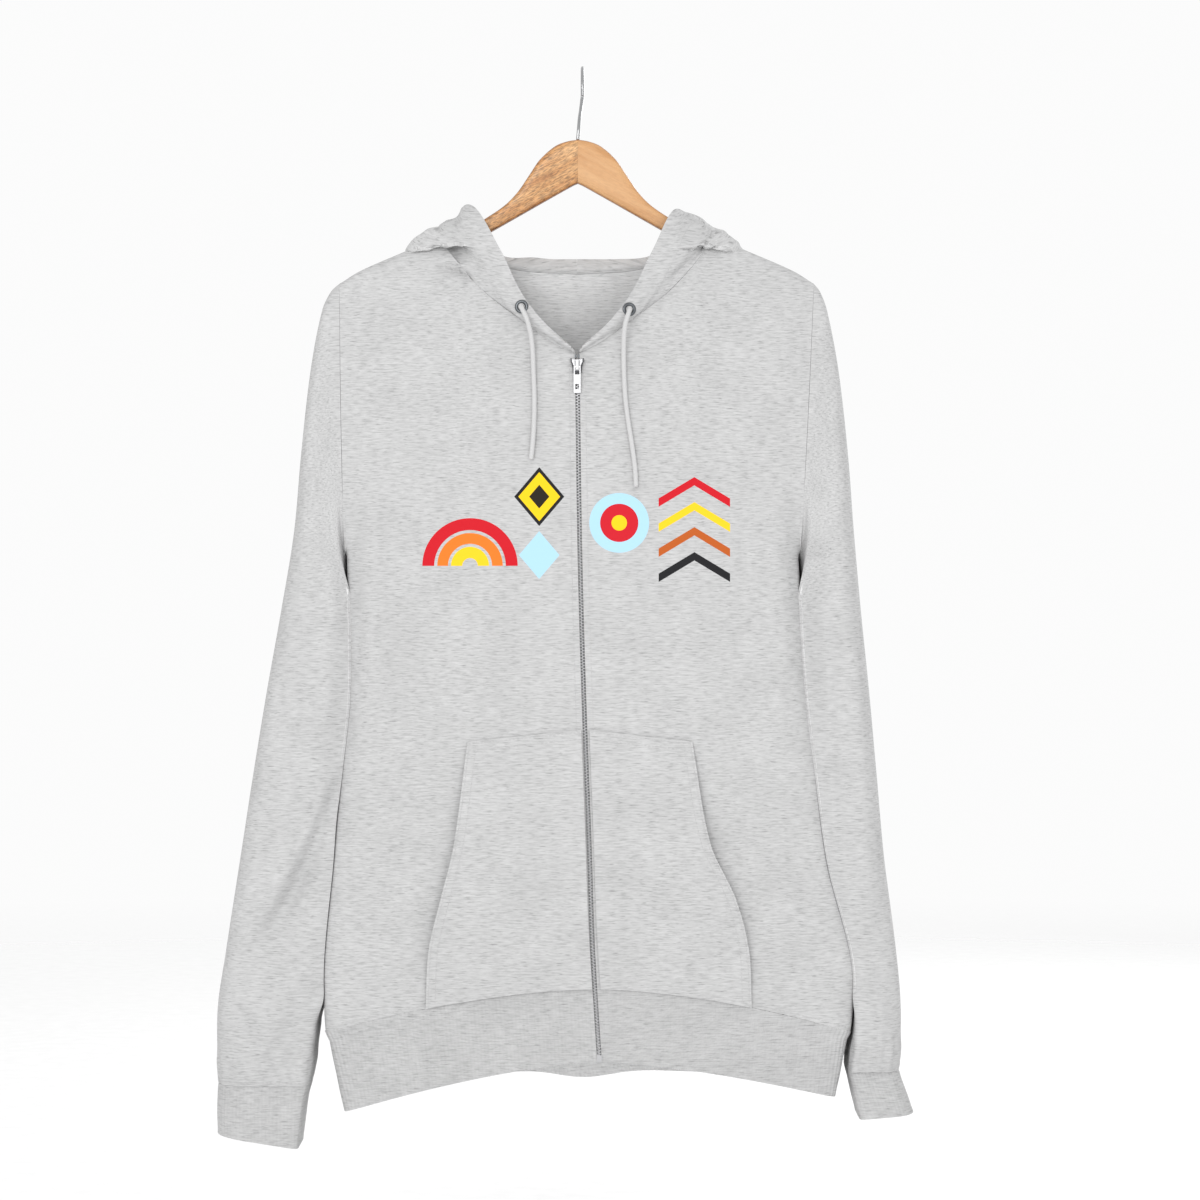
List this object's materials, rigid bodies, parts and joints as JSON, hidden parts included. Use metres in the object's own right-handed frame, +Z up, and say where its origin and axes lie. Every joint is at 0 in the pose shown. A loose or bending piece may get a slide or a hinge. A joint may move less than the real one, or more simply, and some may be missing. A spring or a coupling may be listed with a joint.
{
  "type": "zip up hoodie on a hanger",
  "caption": "Hooded zip-front sweatshirt with pouch pocket, ribbed cuffs and hem, hanging on a wooden hanger with a wire hook.",
  "frame": {"origin": "inner top of the hanger's hook, where a rod carries it", "axes": "+Z up, the garment's front faces -Y, +X to the right of a viewer who looks at the front"},
  "size_m": [0.591, 0.1776, 0.9188],
  "materials": {
    "heather_knit": "matte",
    "rib_knit": "matte",
    "zip_tape": "matte",
    "cord": "matte",
    "gunmetal": "satin",
    "zip_metal": "polished",
    "wire": "polished",
    "wood_brown": "satin",
    "wood_pale": "satin"
  },
  "bodies": {
    "garment": {"front_left": "heather_knit", "front_right": "heather_knit", "back": "heather_knit", "sleeve_left": "heather_knit", "cuff_left": "rib_knit", "sleeve_right": "heather_knit", "cuff_right": "rib_knit", "hem_band": "rib_knit", "hood_left": "heather_knit", "hood_right": "heather_knit", "pocket_left": "heather_knit", "pocket_right": "heather_knit", "zip_tape_left": "zip_tape", "zip_tape_right": "zip_tape", "eyelet_left": "gunmetal", "eyelet_right": "gunmetal", "drawcord_left": "cord", "drawcord_right": "cord", "hanger_wood_left": "wood_brown", "hanger_wood_right": "wood_pale", "zip_stop_left": "gunmetal", "zip_stop_right": "gunmetal", "zip_chain": "zip_metal", "zip_box": "zip_metal", "zip_slider": "zip_metal", "hanger_hook": "wire"},
    "pull_tab": {"zip_pull": "zip_metal"}
  },
  "joints": [
    {"name": "pull_swing", "type": "hinge", "parent": "garment", "child": "pull_tab", "pos_m": [-0.00425, -0.0548, -0.257], "axis": [-1, 0, 0], "range_deg": [0, 150]}
  ]
}
